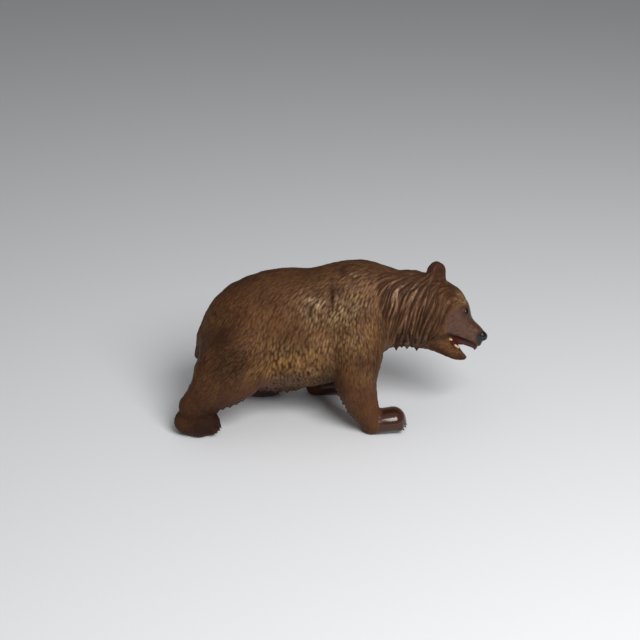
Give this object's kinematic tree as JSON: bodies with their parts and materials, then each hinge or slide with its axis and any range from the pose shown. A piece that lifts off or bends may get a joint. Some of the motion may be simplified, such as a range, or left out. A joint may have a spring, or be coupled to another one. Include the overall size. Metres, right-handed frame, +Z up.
{
  "type": "carved wooden bear figure",
  "caption": "Brown bear walking on four legs with its head low and mouth open, carved in one piece of stained wood, with two inset glass eyes.",
  "frame": {"origin": "on the ground, under the middle of the bear's overall box", "axes": "+X towards the nose, +Y to the bear's left, +Z up"},
  "size_m": [0.2502, 0.1008, 0.1313],
  "materials": {
    "stained_wood": "dark walnut stain, waxed, rubbed lighter on the flanks",
    "eye_glass": "polished, near black"
  },
  "bodies": {
    "root": {"bear_carving": "stained_wood", "right_eye": "eye_glass", "left_eye": "eye_glass"}
  },
  "joints": []
}
